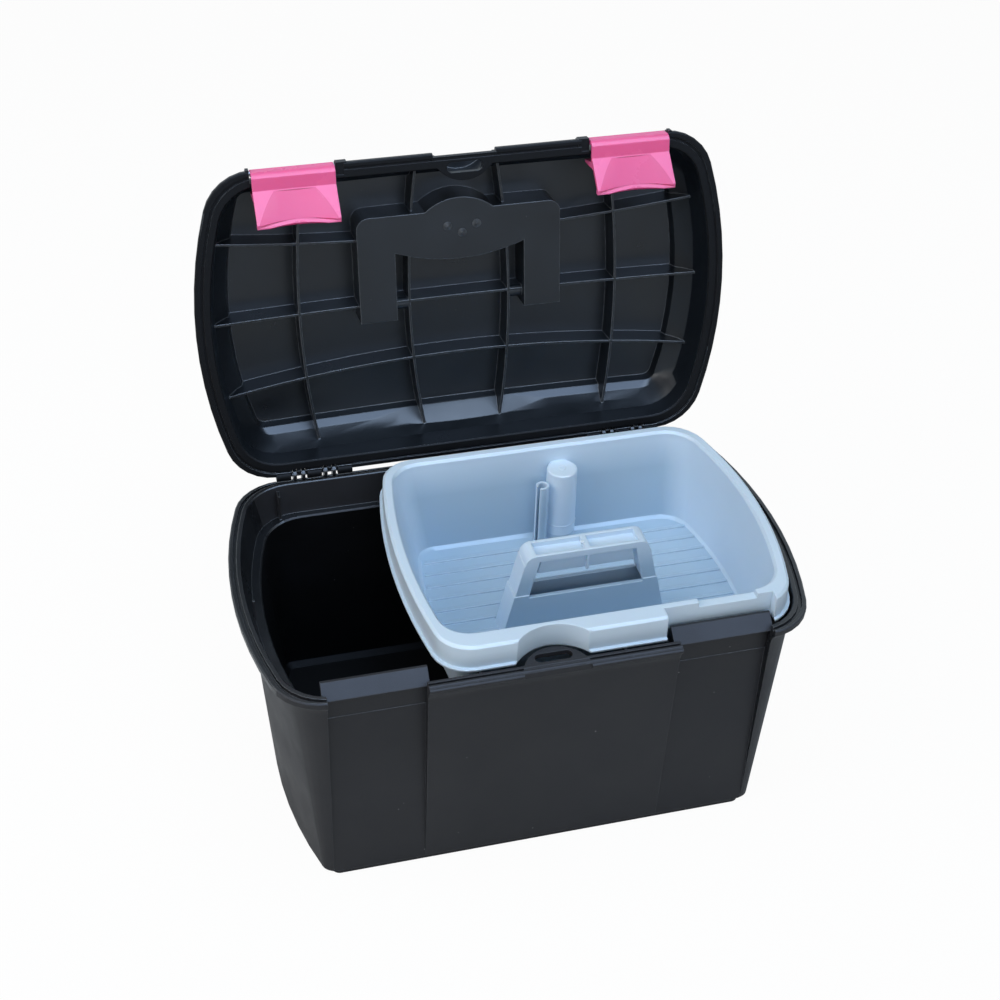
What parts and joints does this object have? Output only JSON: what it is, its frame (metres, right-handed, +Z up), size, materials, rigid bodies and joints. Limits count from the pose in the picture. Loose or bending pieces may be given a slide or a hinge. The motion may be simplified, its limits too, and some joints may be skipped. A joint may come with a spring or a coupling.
{
  "type": "grooming box",
  "caption": "Plastic grooming box: drafted tub, crowned and ribbed hinged lid with a flush carry handle, swing latches and a lift-out tray with its own grip.",
  "frame": {"origin": "middle of the flat underside of the tub's foot", "axes": "+X along the box to the end that holds the tray, -Y out of the front with the latches, +Z up; the lid stands open"},
  "size_m": [0.4, 0.3215, 0.4243],
  "materials": {
    "tub_black": "fine grained black moulding",
    "lid_black": "smooth black moulding",
    "tray_grey_blue": "smooth pale grey-blue moulding",
    "latch_pink": "glossy pink moulding",
    "pin_steel": "drawn rod"
  },
  "bodies": {
    "base": {"base_tub": "tub_black", "hinge_pin_left": "pin_steel", "hinge_pin_right": "pin_steel"},
    "lid": {"lid_shell": "lid_black", "latch_pin_left": "pin_steel", "latch_pin_right": "pin_steel"},
    "tray": {"tray": "tray_grey_blue"},
    "handle": {"carry_handle": "tub_black"},
    "latch_left": {"latch_left": "latch_pink"},
    "latch_right": {"latch_right": "latch_pink"}
  },
  "joints": [
    {"name": "lid_hinge", "type": "hinge", "parent": "base", "child": "lid", "pos_m": [0, 0.1204, 0.1856], "axis": [-1, 0, 0], "range_deg": [-98.6, 0]},
    {"name": "latch_left_swing", "type": "hinge", "parent": "lid", "child": "latch_left", "pos_m": [-0.12225, 0.15968, 0.41925], "axis": [-1, 0, 0], "range_deg": [0, 90]},
    {"name": "latch_right_swing", "type": "hinge", "parent": "lid", "child": "latch_right", "pos_m": [0.12225, 0.15968, 0.41925], "axis": [-1, 0, 0], "range_deg": [0, 90]},
    {"name": "handle_pivot", "type": "hinge", "parent": "lid", "child": "handle", "pos_m": [0, 0.1667, 0.29784], "axis": [-1, 0, 0], "range_deg": [0, 90]},
    {"name": "tray_lift", "type": "slide", "parent": "base", "child": "tray", "axis": [0, 0, 1], "range_m": [0, 0.0014]}
  ],
  "couplings": [
    {"joint": "latch_left_swing", "follows": "lid_hinge", "ratio": -0.9127},
    {"joint": "latch_right_swing", "follows": "lid_hinge", "ratio": -0.9127}
  ]
}
